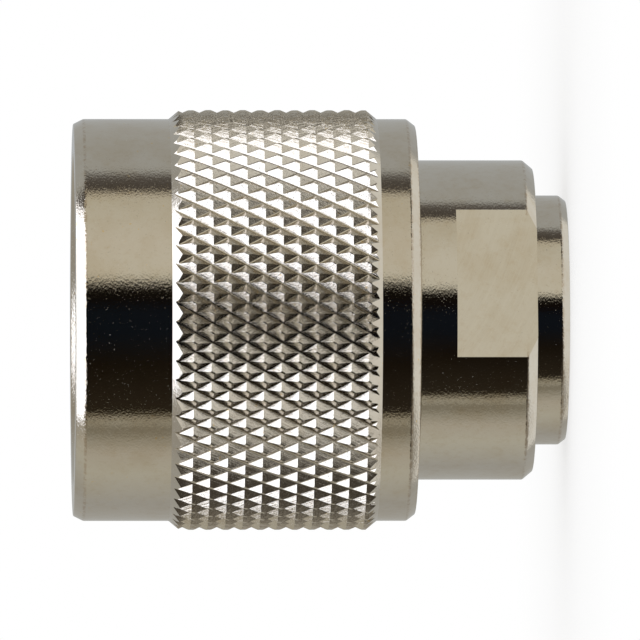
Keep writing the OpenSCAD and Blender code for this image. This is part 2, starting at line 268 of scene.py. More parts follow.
# %% Colours of the room
BANDS = (
    (-180, (0.46, 0.46, 0.44)),
    (-130, (0.43, 0.43, 0.41)),
    (-98, (0.54, 0.53, 0.46)),
    (-82, (0.50, 0.47, 0.40)),
    (-73, (0.37, 0.35, 0.29)),
    (-66, (0.24, 0.22, 0.17)),
    (-64, (0.26, 0.24, 0.19)),
    (-61, (0.42, 0.40, 0.33)),
    (-58, (0.30, 0.27, 0.20)),
    (-55, (0.028, 0.022, 0.015)),
    (-25, (0.011, 0.008, 0.005)),
    (-8, (0.006, 0.008, 0.012)),
    (5, (0.006, 0.008, 0.012)),
    (12, (0.006, 0.004, 0.003)),
    (19, (0.010, 0.008, 0.006)),
    (25, (0.68, 0.65, 0.55)),
    (45, (0.69, 0.66, 0.57)),
    (74, (0.60, 0.57, 0.47)),
    (77, (0.55, 0.50, 0.40)),
    (80, (0.07, 0.06, 0.05)),
    (90, (0.12, 0.11, 0.10)),
    (96, (0.44, 0.45, 0.44)),
    (180, (0.46, 0.475, 0.48)),
)
SOFTBOX = (2.20, 2.30, 2.60, 1.0)
CEILING = (0.40, 0.39, 0.36, 1.0)
TABLE = (0.84, 0.84, 0.81, 1.0)
TABLE_GAP = (0.10, 0.09, 0.075, 1.0)
UPPER_SIDE = (0.50, 0.48, 0.43, 1.0)
LOWER_SIDE = (0.06, 0.052, 0.042, 1.0)
FAR_SIDE = (0.36, 0.34, 0.30, 1.0)
print("studio bands:", len(BANDS))

# %% World
def studio():
    """World: white to the camera, a banded room to mirror rays, an even dome to the rest."""
    world = bpy.data.worlds.new("studio")
    world.cycles.sampling_method = "NONE"
    bpy.context.scene.world = world
    room = Finish(world)
    x, y, z = room.split(room.add("ShaderNodeTexCoord", None, None, 0))
    flat = np.array([toward[0], toward[1]]) / math.hypot(toward[0], toward[1])
    front = x * float(flat[0]) + y * float(flat[1])
    side = x * float(-flat[1]) + y * float(flat[0])
    turn = side.angle_with(front) / TAU + 0.5
    stops = [((degrees + 180) / 360, colour) for degrees, colour in BANDS]
    bands = room.add("ShaderNodeValToRGB", {"stops": stops}, {0: turn})

    # Softbox overhead
    rise = z.at_least(0.001)
    ahead = front / rise
    across = side / rise
    back_edge = ahead + across * 0.27
    panel = (across - ahead * 0.4).ease(1.2, 0.85) * (across + ahead * 0.4).ease(-1.1, -0.75)
    panel = panel * back_edge.ease(-0.08, 0.06)
    panel = panel * ahead.ease(2.1, 1.7) * z.ease(0.05, 0.12)
    ceiling = z.ease(0.62, 0.76)

    # Table below, and the sides of the room past it
    drop = (z * -1.0).at_least(0.001)
    ahead = front / drop
    across = side / drop
    low = (z * -1.0).ease(0.05, 0.12) * ahead.ease(2.1, 1.6) * ahead.ease(-1.15, -0.9)
    edge = (across - ahead * 0.45 + 0.59) / (ahead.at_least(0.0) * 0.28 + 0.1)
    table = edge.ease(-1.0, 1.0) * across.ease(1.55, 1.1)
    lower_side = low * across.ease(-2.0, -1.6) * across.ease(0.4, 0.2) * ahead.ease(0.3, 0.6)
    far_side = low * across.ease(-3.6, -3.0) * across.ease(0.4, 0.2)
    upper_side = low * across.ease(0.2, 0.4) * across.ease(1.65, 1.5)
    gap = low * abs(across).ease(1.45, 1.6) * abs(across).ease(3.6, 3.0) * ahead.ease(-0.1, 0.05)

    # Each layer covers the ones before it
    mirror = room.mix(ceiling, bands, CEILING)
    mirror = room.mix(panel, mirror, SOFTBOX)
    mirror = room.mix(far_side, mirror, FAR_SIDE)
    mirror = room.mix(lower_side, mirror, LOWER_SIDE)
    mirror = room.mix(upper_side, mirror, UPPER_SIDE)
    mirror = room.mix(gap, mirror, TABLE_GAP)
    mirror = room.mix(low * table, mirror, TABLE)
    dome = z * 0.35 + 0.75
    soft = room.join(dome, dome, dome)
    path = room.add("ShaderNodeLightPath").socket.node.outputs
    glossy = Value(room, path["Is Glossy Ray"])
    seen = Value(room, path["Is Camera Ray"]).at_least(Value(room, path["Is Transmission Ray"]))
    colour = room.mix(seen, room.mix(glossy, soft, mirror), grey(1.0))
    background = room.add("ShaderNodeBackground", None, {0: colour})
    room.add("ShaderNodeOutputWorld", None, {0: background})
    return world


world = studio()
print("world:", world.name, "with", len(world.node_tree.nodes), "nodes")

# %% [markdown]
# ## Floor
# A sweep of white paper stands under the plug. Close to the plug it is matt paper
# that takes the soft shadow. Further out it fades to plain white, so that no edge
# of the paper shows. Mirror rays pass through it and find the table in the world,
# which has the same pale tone at every angle.

# %% Floor disc
FLOOR_RADIUS = 3.0
PAPER_NEAR = 0.028
PAPER_FAR = 0.060
PAPER_SHADE = 0.3
FLOOR_POINTS = 96


def paper():
    """White paper that takes a light shadow near the plug, and fades to plain white."""
    material = bpy.data.materials.new("white_paper")
    finish = Finish(material)
    x, y, _ = finish.split(finish.add("ShaderNodeTexCoord", None, None, 3))
    away = ((x * x + y * y) ** 0.5).ease(PAPER_NEAR, PAPER_FAR)
    matt = finish.add("ShaderNodeBsdfDiffuse", None, {0: grey(0.97)})
    glow = finish.add("ShaderNodeEmission", None, {0: grey(1.0), 1: 1.0})
    path = finish.add("ShaderNodeLightPath").socket.node.outputs
    seen = Value(finish, path["Is Camera Ray"])
    plain = seen * (1 - (1 - away) * PAPER_SHADE)
    surface = finish.add("ShaderNodeMixShader", None, {0: plain, 1: matt, 2: glow})
    finish.add("ShaderNodeOutputMaterial", None, {0: surface})
    return material


def floor_disc():
    """One round face: its points are the radius times the cosine and sine of even angles."""
    angle = np.linspace(0, TAU, FLOOR_POINTS, endpoint=False)
    points = np.stack([np.cos(angle), np.sin(angle), 0 * angle], axis=1) * FLOOR_RADIUS
    mesh = bpy.data.meshes.new("floor")
    mesh.from_pydata(points.tolist(), [], [list(range(FLOOR_POINTS))])
    mesh.materials.append(paper())
    disc = bpy.data.objects.new("floor", mesh)
    bpy.context.scene.collection.objects.link(disc)
    disc.visible_glossy = False
    return disc


floor = floor_disc()
print("floor radius", FLOOR_RADIUS, "m")

# %% [markdown]
# ## Meshes from grids
# Every new surface here is a grid of points. Its rows follow a profile and its
# columns go round the axis, as on a lathe. The whole grid is one numpy array, so
# the shape is written as a formula and not as a loop over points. Where the last
# column meets the first, and the last row the first, the grid wraps, so the mesh
# closes by itself.

# %% Grid to mesh
def add_mesh(name, points, faces, smooth_degrees):
    """An object from arrays of points and quads, with edges sharper than the angle kept crisp."""
    mesh = bpy.data.meshes.new(name)
    mesh.vertices.add(len(points))
    mesh.vertices.foreach_set("co", (points * MM).ravel().astype(np.float32))
    mesh.loops.add(faces.size)
    mesh.loops.foreach_set("vertex_index", faces.ravel().astype(np.int32))
    mesh.polygons.add(len(faces))
    starts = np.arange(0, faces.size, faces.shape[1], dtype=np.int32)
    mesh.polygons.foreach_set("loop_start", starts)
    mesh.update(calc_edges=True)
    work = bmesh.new()
    work.from_mesh(mesh)
    bmesh.ops.remove_doubles(work, verts=work.verts, dist=2e-7)
    bmesh.ops.dissolve_degenerate(work, edges=work.edges, dist=1e-8)
    work.to_mesh(mesh)
    work.free()
    mesh.polygons.foreach_set("use_smooth", np.ones(len(mesh.polygons), dtype=bool))
    mesh.set_sharp_from_angle(angle=math.radians(smooth_degrees))
    piece = bpy.data.objects.new(name, mesh)
    bpy.context.scene.collection.objects.link(piece)
    triangles = int(sum(len(p.vertices) - 2 for p in mesh.polygons))
    print(f"{name}: {len(mesh.vertices)} points, {triangles} triangles")
    return piece


print("meshes are made from arrays, in metres")

# %% Profile to grid
def wrapped_quads(rows, columns):
    """Quads of a grid that wraps both ways: each joins a point to its three next neighbours."""
    index = np.arange(rows * columns).reshape(rows, columns)
    up = np.roll(index, -1, axis=0)
    quads = np.stack([index, np.roll(index, -1, axis=1), np.roll(up, -1, axis=1), up], axis=-1)
    return quads.reshape(-1, 4)


def ring_columns(count):
    """Angles of the columns, evenly round the axis."""
    return np.arange(count) * (TAU / count)


def eased(corners, steps=4):
    """Round the corners of a closed profile of (radius, height, ease) rows.

    Each corner is replaced by a short curve: a parabola that starts and ends at the
    distance ease from the corner, on its two edges.
    """
    corners = np.array(corners, dtype=float)
    point = corners[:, :2]
    ease = corners[:, 2:3]
    back = np.roll(point, 1, axis=0) - point
    ahead = np.roll(point, -1, axis=0) - point
    back = back / np.linalg.norm(back, axis=1, keepdims=True)
    ahead = ahead / np.linalg.norm(ahead, axis=1, keepdims=True)
    t = np.linspace(0, 1, steps)[:, None, None]
    curve = (1 - t) ** 2 * (point + back * ease) + 2 * t * (1 - t) * point + t * t * (point + ahead * ease)
    curve = curve.transpose(1, 0, 2).reshape(-1, 2)
    keep = np.linalg.norm(curve - np.roll(curve, 1, axis=0), axis=1) > 1e-6
    return curve[keep]


def turned_points(profile, angle):
    """Points of a turned surface: radius times the cosine and sine of the angle, and the height."""
    r = profile[:, 0][:, None]
    z = profile[:, 1][:, None]
    return np.stack([r * np.cos(angle), r * np.sin(angle), z + 0 * angle], axis=-1)


def turned(name, profile, columns, smooth_degrees=30):
    """A closed profile carried once round the axis."""
    points = turned_points(profile, ring_columns(columns))
    faces = wrapped_quads(len(profile), columns)
    return add_mesh(name, points.reshape(-1, 3), faces, smooth_degrees)


print("profiles are carried round the axis")

# %% [markdown]
# ## Coupling nut: the blank
# A real nut is turned from brass bar, and its 5/8-24 thread is cut with a single
# point tool, which leaves a helix. The outside is a profile carried round the
# axis. For the thread, the rows of the grid climb by one pitch in each turn, so
# each of them stays on its own place of the thread form, and crests and roots come
# out as clean lines. At both ends the rows are held back at a level, and the radius
# is the larger of thread and chamfer cone, so the thread runs out in a cone as it
# does under a real countersink.

# %% Sizes of the nut and its thread
PITCH = 25.4 / 24
ROWS_PER_PITCH = 16
THREAD_MAJOR_R = 7.94
THREAD_MINOR_R = THREAD_MAJOR_R - PITCH * 5 / 16 * math.sqrt(3)
MOUTH_R = 8.3
RELIEF_R = 8.05
NUT_BORE_R = 7.1
NUT_R = 10.0
NUT_COLUMNS = 360
REAR_CHAMFER_LEN, REAR_CHAMFER_RISE = 0.43, 0.33
FRONT_CHAMFER_LEN, FRONT_CHAMFER_RISE = 0.5, 0.25
RELIEF_FROM_GASKET = (0.75, 0.29)
print(f"thread minor radius {THREAD_MINOR_R:.3f} mm, pitch {PITCH:.4f} mm")

# %% Nut blank with its thread
def thread_radius(height, angle):
    """Flat root for an eighth of the pitch, flanks at 30 degrees, flat crest for a quarter."""
    phase = np.abs((height / PITCH - angle / TAU) % 1.0 - 0.5) * 2
    return THREAD_MAJOR_R - (THREAD_MAJOR_R - THREAD_MINOR_R) * np.clip((0.875 - phase) / 0.625, 0, 1)


def nut_blank():
    """Profile rows, then helical thread rows, on a grid whose seam columns are welded."""
    groove_low = ring_z0 - FACE_GAP
    groove_high = ring_z1 + FACE_GAP
    relief_low = gasket_z0 + RELIEF_FROM_GASKET[0]
    relief_high = gasket_z1 + RELIEF_FROM_GASKET[1]
    thread_low = relief_high + 0.05
    thread_high = nut_z1 - 0.1
    profile = eased([
        (RELIEF_R - 0.05, thread_low, 0),
        (RELIEF_R, relief_high, 0),
        (RELIEF_R, relief_low, 0.04),
        (NUT_BORE_R, relief_low, 0.03),
        (NUT_BORE_R, groove_high, 0),
        (ring_r + 0.1, groove_high, 0),
        (ring_r + 0.1, groove_low, 0),
        (NUT_BORE_R, groove_low, 0),
        (NUT_BORE_R, nut_z0 + 0.2, 0.04),
        (NUT_BORE_R + 0.2, nut_z0, 0.04),
        (NUT_R - REAR_CHAMFER_RISE, nut_z0, 0.05),
        (NUT_R, nut_z0 + REAR_CHAMFER_LEN, 0.07),
        (NUT_R, nut_z1 - FRONT_CHAMFER_LEN, 0.07),
        (NUT_R - FRONT_CHAMFER_RISE, nut_z1, 0.06),
        (MOUTH_R, nut_z1, 0.05),
        (MOUTH_R - 0.1, thread_high, 0),
    ], 7)
    angle = np.linspace(0, TAU, NUT_COLUMNS + 1)
    plain = turned_points(profile, angle)
    first = math.floor(thread_low / PITCH) * ROWS_PER_PITCH
    last = math.ceil(thread_high / PITCH) * ROWS_PER_PITCH
    row = np.arange(last, first - ROWS_PER_PITCH - 1, -1)[:, None] / ROWS_PER_PITCH
    height = np.clip((row + angle / TAU) * PITCH, thread_low, thread_high)
    cone = np.maximum(MOUTH_R - nut_z1 + height, RELIEF_R + relief_high - height)
    radius = np.maximum(thread_radius(height, angle), cone)
    thread = np.stack([radius * np.cos(angle), radius * np.sin(angle), height], axis=-1)
    points = np.concatenate([plain, thread])
    rows, columns = points.shape[:2]
    faces = wrapped_quads(rows, columns).reshape(rows, columns, 4)[:, :-1].reshape(-1, 4)
    return add_mesh("coupling_nut_turning", points.reshape(-1, 3), faces, 27)


nut_turning = nut_blank()
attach(nut_turning, "nut")
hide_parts("coupling_nut")
print(f"nut from {nut_z0:.2f} to {nut_z1:.2f} mm")

# %% [markdown]
# ## Coupling nut: the knurl
# A diamond knurl is made by two families of V grooves that cross at an angle. What
# stands between them are small pyramids, with slightly rounded tips. The crisp look
# comes from edges that lie exactly on grooves and ridges. So the grid isn't laid
# along the axis. Its lines follow the two groove families: p counts the spacings
# across one family and q across the other. Every groove floor and facet is then
# bounded by grid lines, and ten lines to a spacing are enough.
#
# A point at (p, q) sits at the angle p + q and at the height p - q, in half pitches.
# The column number j sets q, and the row number k is how far p is ahead of q, so the
# grid closes after one turn.

# %% Knurl sizes
KNURL_COUNT = 66
KNURL_TURN = math.radians(0.6)
KNURL_FROM_FRONT = 4.75
KNURL_LEN = 10.35
SHOULDER_LEN = 0.55
GROOVE_ANGLE = math.radians(30)
GROOVE_V = math.radians(98)
knurl_z1 = nut_z1 - KNURL_FROM_FRONT
knurl_z0 = knurl_z1 - KNURL_LEN
shoulder_slope = (knurl_r - NUT_R) / SHOULDER_LEN
half_pitch = math.pi * knurl_r / KNURL_COUNT
row_height = half_pitch / math.tan(GROOVE_ANGLE)
spacing = 2 * half_pitch * math.cos(GROOVE_ANGLE)
first_row_z = knurl_z1 - 0.25 - 11 * row_height
print(f"row {row_height:.4f} mm, groove spacing {spacing:.4f} mm")

# %% [markdown]
# ### Depth of the grooves
# A flank rises by the same amount for each step across, so its height is the distance
# from the groove's floor times a slope, which the angle of the V settles. A worn tool
# leaves a narrow level floor, and rubs the crest round. The second family is cut a
# little less deep than the first.

# %% Form of one groove
flank = spacing / math.tan(GROOVE_V / 2)
FALLING_LIFT = 0.05
GROOVE_FLOOR = 0.03
ROUND_FROM = 0.41


def rounded(place):
    """Height of a rising groove, in flanks: straight, then a parabola to a level crest."""
    bend = np.maximum(place - ROUND_FROM, 0)
    return np.maximum(place, GROOVE_FLOOR) - bend ** 2 / (1 - 2 * ROUND_FROM)


shift = FALLING_LIFT / flank
root_r = knurl_r - flank * rounded(0.5)
print(f"flank rises {flank:.4f} mm in one spacing, root radius {root_r:.3f} mm")

# %% [markdown]
# ### Where the grid lines lie
# The grooves of one family are a little shallower, so the ridge between two facets
# isn't half way between the floors. For the ridges to be crisp they have to pass
# through grid points. So the lines of the rising family are chosen first, and each
# line of the falling family goes where its own flank has the same height.

# %% Lines across one spacing
LINES = 10
rising_half = np.array([0, GROOVE_FLOOR, GROOVE_FLOOR + shift, ROUND_FROM, 0.46, 0.5])
falling_half = np.concatenate([[0, GROOVE_FLOOR], rounded(rising_half[3:]) - shift, [0.5]])
RISING_LINES = np.concatenate([rising_half, 1 - rising_half[4:0:-1]])
FALLING_LINES = np.concatenate([falling_half, 1 - falling_half[4:0:-1]])
print("rising lines", RISING_LINES.round(3), "falling lines", FALLING_LINES.round(3))

# %% Places on the knurl's grid
KNURL_FIRST_LINE = -10
KNURL_LAST_LINE = 116
KNURL_INNER_R = 9.6


def line_place(number, lines):
    """Place of a grid line, in spacings: the whole spacings, and its place in the last one."""
    return number // LINES + lines[number % LINES]


def from_floor(place):
    """Distance to the nearest groove floor, in spacings."""
    return np.abs(place - np.round(place))


print("rows of the knurl's grid:", KNURL_LAST_LINE - KNURL_FIRST_LINE + 1)

# %% [markdown]
# ### Triangles of the knurl
# A quad can be split along either of its diagonals. Where a ridge of the pyramids runs
# along one of them, that one is taken, because the other would cut a notch in the ridge.
# Where a cone meets the pyramids, no grid line runs along the crossing. There the
# triangles are cut, and new points are put on it.

# %% Cuts and triangles
def split_along_zero(values, faces, field):
    """Cut triangles where a field crosses zero, so that the crossing becomes an edge.

    In such a triangle one corner is alone on its side. The field is taken as linear on
    its two edges, new points go where it is zero, and the triangle becomes three.
    """
    side = field[faces] > 0
    count = side.sum(axis=1)
    crossing = (count == 1) | (count == 2)
    alone = np.argmax(side[crossing] == (count[crossing] == 1)[:, None], axis=1)
    turn = (alone[:, None] + np.arange(3)) % 3
    a, b, c = np.take_along_axis(faces[crossing], turn, axis=1).T
    share_b = (field[a] / (field[a] - field[b]))[:, None]
    share_c = (field[a] / (field[a] - field[c]))[:, None]
    on_b = values[a] + (values[b] - values[a]) * share_b
    on_c = values[a] + (values[c] - values[a]) * share_c
    first = len(values) + np.arange(len(a))
    second = first + len(a)
    corners = ((a, first, second), (first, b, c), (first, c, second))
    pieces = [np.stack(corner, axis=1) for corner in corners]
    return np.concatenate([values, on_b, on_c]), np.concatenate([faces[~crossing], *pieces])


def knurl_faces(rows, columns):
    """Triangles between the lines of p and q, with the pyramids' ridges as edges.

    A cell lies between (k, j), (k - 1, j + 1), (k, j + 1) and (k + 1, j). It is split from
    side to side, or from foot to top where a ridge runs that way. The first and the last
    row get half cells, so both ends are closed rings.
    """
    index = np.arange(rows * columns).reshape(rows, columns)
    after = np.roll(index, -1, axis=1)
    a, b, c, d = index[1:-1], index[2:], after[1:-1], after[:-2]
    k = np.arange(rows)[1:-1, None] + KNURL_FIRST_LINE
    j = np.arange(columns)
    upright = np.isin((2 * j + k) % LINES, (0, LINES - 2))[..., None]
    one = np.where(upright, np.stack([a, d, b], -1), np.stack([a, d, c], -1)).reshape(-1, 3)
    two = np.where(upright, np.stack([d, c, b], -1), np.stack([a, c, b], -1)).reshape(-1, 3)
    low = np.stack([index[0], after[0], index[1]], -1)
    high = np.stack([index[-1], after[-2], after[-1]], -1)
    return np.concatenate([one, two, low, high])


print("columns of the knurl's grid:", LINES * KNURL_COUNT)

# %% [markdown]
# ### The surface
# At each grid point the radius is that of the lower of the two flanks. At both ends of
# the band a cone cuts the pyramids down to the nut's plain diameter. The triangles
# are cut where the two meet, so the cone's edge on each pyramid is crisp. The ring is
# then closed by an inner wall, which lies out of sight inside the blank.

# %% Knurl surface
def strip(low, high):
    """Triangles between two closed rings of points."""
    low_next, high_next = np.roll(low, -1), np.roll(high, -1)
    return np.concatenate([np.stack([low, low_next, high_next], -1), np.stack([low, high_next, high], -1)])


def knurl_ring():
    """The smaller of two groove heights, cut down by a cone at each end, as a closed ring."""
    k = np.arange(KNURL_FIRST_LINE, KNURL_LAST_LINE + 1)[:, None]
    j = np.arange(LINES * KNURL_COUNT)[None, :]
    p = line_place(j + k, FALLING_LINES)
    q = line_place(j + 0 * k, RISING_LINES)
    angle = (p + q) * math.pi / KNURL_COUNT + KNURL_TURN
    height = first_row_z + (p - q) * row_height
    rising = flank * rounded(from_floor(q))
    falling = flank * np.maximum(from_floor(p), GROOVE_FLOOR) + FALLING_LIFT
    radius = root_r + np.minimum(rising, falling)
    rows, columns = radius.shape
    values = np.stack([np.cos(angle), np.sin(angle), height, radius], axis=-1).reshape(-1, 4)
    cone = NUT_R + shoulder_slope * np.minimum(values[:, 2] - knurl_z0, knurl_z1 - values[:, 2])
    values, faces = split_along_zero(values, knurl_faces(rows, columns), values[:, 3] - cone)
    cone = NUT_R + shoulder_slope * np.minimum(values[:, 2] - knurl_z0, knurl_z1 - values[:, 2])
    skin = values[:, :3] * 1.0
    skin[:, :2] *= (np.minimum(values[:, 3], cone) / np.hypot(skin[:, 0], skin[:, 1]))[:, None]

    # Inner wall, out of sight in the blank
    low = np.arange(columns)
    high = low + (rows - 1) * columns
    inner = skin[np.concatenate([low, high])]
    inner[:, :2] *= (KNURL_INNER_R / np.hypot(inner[:, 0], inner[:, 1]))[:, None]
    inner_low = len(skin) + low
    inner_high = inner_low + columns
    ahead = (KNURL_LAST_LINE - KNURL_FIRST_LINE) // 2
    walls = [strip(high, inner_high), strip(inner_low, low), strip(inner_high, np.roll(inner_low, -ahead))]
    return add_mesh("coupling_nut_knurl", np.concatenate([skin, inner]), np.concatenate([faces, *walls]), 23)


knurl = knurl_ring()
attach(knurl, "nut")
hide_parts("coupling_nut")
print(f"knurl from {knurl_z0:.2f} to {knurl_z1:.2f} mm")

# %% [markdown]
# ## Body
# The body is one turning with a collar for the cable clamp. Two wrench flats are
# milled on it afterwards. A milling cutter takes away whatever stands beyond a
# plane, so on the turned grid the flats are made by holding back the points at that
# plane.

# %% Body sizes and profile
FLAT_Y = 7.0
FLAT_Z = (1.65, 5.65)
COLLAR_R = 6.2
COLLAR_CHAMFER_LEN, COLLAR_CHAMFER_RISE = 0.36, 0.27
BODY_CHAMFER_LEN, BODY_CHAMFER_RISE = 0.5, 0.42
BARREL_R = 7.0
RING_GROOVE_R = 6.2
RING_GROOVE_Z = (9.85, 11.25)
BORE_R = 4.6
CLAMP_THREAD_R = 4.75
CLAMP_THREAD_TOP = 3.45
WEB_HOLE_R = 2.85
WEB_T = 0.6


def body_profile():
    """Collar, chamfer, round, barrel with its ring groove, and the bore with its web."""
    return eased([
        (CLAMP_THREAD_R + 0.4, 0, 0.04),
        (COLLAR_R - COLLAR_CHAMFER_RISE, 0, 0.05),
        (COLLAR_R, COLLAR_CHAMFER_LEN, 0.06),
        (COLLAR_R, FLAT_Z[0], 0),
        (body_r - BODY_CHAMFER_RISE, FLAT_Z[0], 0.05),
        (body_r, FLAT_Z[0] + BODY_CHAMFER_LEN, 0.07),
        (body_r, FLAT_Z[1], 0),
        (body_r, body_shoulder_z, 0.06),
        (BARREL_R, body_shoulder_z, 0),
        (BARREL_R, RING_GROOVE_Z[0], 0),
        (RING_GROOVE_R, RING_GROOVE_Z[0], 0),
        (RING_GROOVE_R, RING_GROOVE_Z[1], 0),
        (BARREL_R, RING_GROOVE_Z[1], 0),
        (BARREL_R, gasket_z0, 0.04),
        (contact_flange_r, gasket_z0, 0),
        (contact_flange_r, gasket_z0 + 0.6, 0),
        (BORE_R, gasket_z0 + 0.6, 0),
        (BORE_R, insulator_z0, 0),
        (WEB_HOLE_R, insulator_z0, 0),
        (WEB_HOLE_R, insulator_z0 - WEB_T, 0),
        (BORE_R, insulator_z0 - WEB_T, 0),
        (BORE_R, CLAMP_THREAD_TOP, 0),
        (CLAMP_THREAD_R, CLAMP_THREAD_TOP, 0),
        (CLAMP_THREAD_R, 0.4, 0.03),
    ], 7)


print(f"flats {2 * FLAT_Y:.1f} mm apart, {FLAT_Z[1] - FLAT_Z[0]:.1f} mm long")

# %% [markdown]
# ### Edges of the flats
# Columns are placed at the exact angles where plane and cylinder meet, and two rows
# lie at the end of the flat, so its edges stay straight. On the chamfer the radius is
# smaller, so plane and cone meet closer to the middle of the flat. In each such row
# the columns are drawn in, so that the same column follows the edge of the flat, and
# the edge is a clean arc there.

# %% Body
BODY_COLUMNS = 540


def body():
    """The turned grid, with the rows of the flats held back at the two planes.

    A flat ends, in each row, at the angle whose cosine is the plane's distance over the
    radius. The columns on the flat are spread evenly up to that angle, and the others
    evenly from there to the side.
    """
    profile = body_profile()
    step = int(np.argmin(np.abs(profile[:, 1] - FLAT_Z[1])))
    profile = np.insert(profile, step, profile[step], axis=0)
    meet = math.asin(FLAT_Y / body_r)
    edges = [meet, math.pi - meet, math.pi + meet, TAU - meet]
    angle = np.sort(np.concatenate([ring_columns(BODY_COLUMNS), edges]))
    row = np.arange(len(profile))
    milled = (row <= step) & (profile[:, 1] >= FLAT_Z[0]) & (profile[:, 0] > FLAT_Y)

    # How far each column lies from the middle of its flat, and how far it should lie
    width = math.pi / 2 - meet
    half = np.arccos(FLAT_Y / np.maximum(profile[:, 0], FLAT_Y))
    half = np.where(milled, half, width)[:, None]
    from_flat = (angle + math.pi / 2) % math.pi - math.pi / 2
    from_flat = np.where(from_flat > 0, 1, -1) * (math.pi / 2) - from_flat
    far = np.abs(from_flat)
    outside = half + (far - width) * (math.pi / 2 - half) / meet
    drawn = np.where(far <= width + 1e-9, far * half / width, outside)
    angle = angle + np.sign(from_flat) * (far - drawn)
    points = turned_points(profile, angle)
    points[milled, :, 1] = np.clip(points[milled, :, 1], -FLAT_Y, FLAT_Y)
    faces = wrapped_quads(*angle.shape)
    return add_mesh("body_turning", points.reshape(-1, 3), faces, 22)


body_piece = body()
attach(body_piece, "plug")
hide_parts("body_shell")
print("columns round the body:", BODY_COLUMNS + 4)

# %% [markdown]
# ## Inside the mouth
# Looking into the mating end, one sees the gasket, the slotted outer contact and the
# gold pin. All of them are turned, so each could be a few cylinders. A profile
# carried round the axis gives the same form with eased edges, and those edges are
# what catches the light.

# %% Turned pieces of the mouth
CONTACT_R = (3.5, 4.0)
slot_bottom_z = contact_tip_z - 7.6
seat_z = gasket_z0 + 0.6


def ring_on(name, body_name, node, profile, columns=180):
    """A turned piece that stands for a node and rides on its body."""
    piece = turned(name, profile, columns, 27)
    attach(piece, body_name)
    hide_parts(node)
    return piece


print(f"slots of the contact start at {slot_bottom_z:.2f} mm")

# %% Gasket and sleeve
gasket = ring_on("gasket_ring", "plug", "interface_gasket", eased([
    (contact_flange_r + 0.02, gasket_z0, 0.05),
    (gasket_r, gasket_z0, 0.1),
    (gasket_r, gasket_z1, 0.1),
    (contact_flange_r + 0.02, gasket_z1, 0.08),
], 7))

sleeve = ring_on("outer_contact_sleeve", "plug", "outer_contact", eased([
    (CONTACT_R[0], gasket_z0, 0),
    (insulator_r, gasket_z0, 0),
    (insulator_r, seat_z, 0),
    (contact_flange_r, seat_z, 0),
    (contact_flange_r, seat_z + 0.6, 0.12),
    (CONTACT_R[1], seat_z + 0.6, 0.06),
    (CONTACT_R[1], slot_bottom_z, 0),
    (CONTACT_R[0], slot_bottom_z, 0),
], 7))
print("gasket and sleeve:", gasket.name, sleeve.name)

# %% [markdown]
# ### Spring fingers
# The slots of the contact are sawn, so their walls are parallel and not radial. They
# could be cut with a boolean, which leaves a ragged mesh. Instead each spring finger
# is the sleeve's profile carried between two slots, and the end angles change with
# the radius in such a way that the walls come out flat.

# %% Spring fingers
SLOT_HALF = 0.2
FINGER_COLUMNS = 49


def fingers():
    """Four sectors of the sleeve.

    At each radius a finger reaches to 45 degrees less the angle whose sine is half the
    slot over the radius, so its two end walls are flat and parallel to the slot.
    """
    profile = eased([
        (CONTACT_R[0] + 0.001, slot_bottom_z - 0.05, 0),
        (CONTACT_R[1] - 0.001, slot_bottom_z - 0.05, 0),
        (CONTACT_R[1] - 0.001, contact_tip_z, 0.12),
        (CONTACT_R[0] + 0.001, contact_tip_z, 0.1),
    ], 7)
    rows, columns = len(profile), FINGER_COLUMNS
    reach = math.pi / 4 - np.arcsin(SLOT_HALF / profile[:, 0])
    share = np.linspace(-1, 1, columns)
    angle = np.arange(4)[:, None, None] * (math.pi / 2) + reach[:, None] * share
    r = profile[:, 0][:, None]
    z = profile[:, 1][:, None] + 0 * angle
    points = np.stack([r * np.cos(angle), r * np.sin(angle), z], axis=-1)
    skin = wrapped_quads(rows, columns).reshape(rows, columns, 4)[:, :-1].reshape(-1, 4)
    start = np.arange(rows) * columns
    spokes = np.arange(1, rows - 2, 2)
    cap = np.stack([0 * spokes, spokes, spokes + 1, spokes + 2], axis=1)
    caps = np.concatenate([start[cap], (start + columns - 1)[cap][:, ::-1]])
    one = np.concatenate([skin, caps])
    faces = np.concatenate([one + i * rows * columns for i in range(4)])
    return add_mesh("outer_contact_fingers", points.reshape(-1, 3), faces, 27)


finger_piece = fingers()
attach(finger_piece, "plug")
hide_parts("outer_contact")
print(f"four fingers, slots {2 * SLOT_HALF:.1f} mm wide")

# %% [markdown]
# ### Centre pin
# The pin is turned from brass and gold-plated. Behind its slim front it has a shoulder
# that seats on the bead, a shank, and a cup for the cable's conductor. The tip tapers
# in a curve, so that it finds the socket of the mate.

# %% Centre pin
PIN_R = 0.8
PIN_TAPER = 0.9
PIN_CUP_R = 0.5
PIN_CUP_Z = (7.2, 9.6)
PIN_SHANK_R = 1.1
PIN_SHOULDER_R = 1.52
pin_tip_z = contact_tip_z - 0.5
pin_shoulder_z = contact_tip_z - 5.28

# The tip is an arc: its radius and height go with the cosine and sine of one angle
bend = np.radians(np.linspace(0, 86, 14))
taper = np.stack([PIN_R * np.cos(bend), pin_tip_z - PIN_TAPER + PIN_TAPER * np.sin(bend), 0 * bend], 1)
pin = ring_on("centre_pin_turning", "plug", "centre_pin", eased([
    (0, PIN_CUP_Z[1], 0),
    (PIN_CUP_R, PIN_CUP_Z[1], 0),
    (PIN_CUP_R, PIN_CUP_Z[0], 0.05),
    (PIN_SHANK_R, PIN_CUP_Z[0], 0.06),
    (PIN_SHANK_R, gasket_z0 + 1.7, 0),
    (PIN_SHOULDER_R, gasket_z0 + 1.7, 0.03),
    (PIN_SHOULDER_R, pin_shoulder_z, 0.12),
    (PIN_R, pin_shoulder_z, 0.03),
    *taper.tolist(),
    (0, pin_tip_z, 0),
], 7), 96)
print(f"pin tip at {pin_tip_z:.2f} mm")
